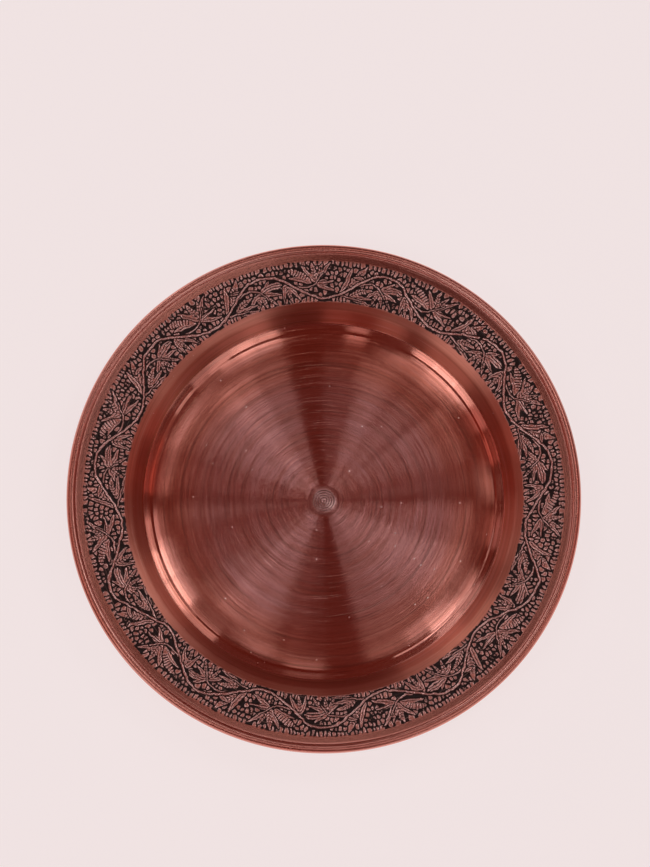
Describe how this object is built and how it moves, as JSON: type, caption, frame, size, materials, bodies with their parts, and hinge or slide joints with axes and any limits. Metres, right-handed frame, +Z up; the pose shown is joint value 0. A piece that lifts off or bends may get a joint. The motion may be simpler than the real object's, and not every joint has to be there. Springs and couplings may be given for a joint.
{
  "type": "tray",
  "caption": "Round copper tray with a shallow well, a wide flange chased with a leafy vine band, and an edge rolled over a stiffening wire.",
  "frame": {"origin": "centre of the floor's underside, on the surface the tray stands on", "axes": "+Z up along the tray's axis of revolution, out of the well; +X and +Y lie in the plane it stands on"},
  "size_m": [0.3, 0.2998, 0.0259],
  "materials": {
    "copper": "spun and brushed bare copper; the chased band's ground is blackened",
    "wire": "drawn galvanised iron wire"
  },
  "bodies": {
    "root": {"tray_sheet": "copper", "rim_wire": "wire"}
  },
  "joints": []
}
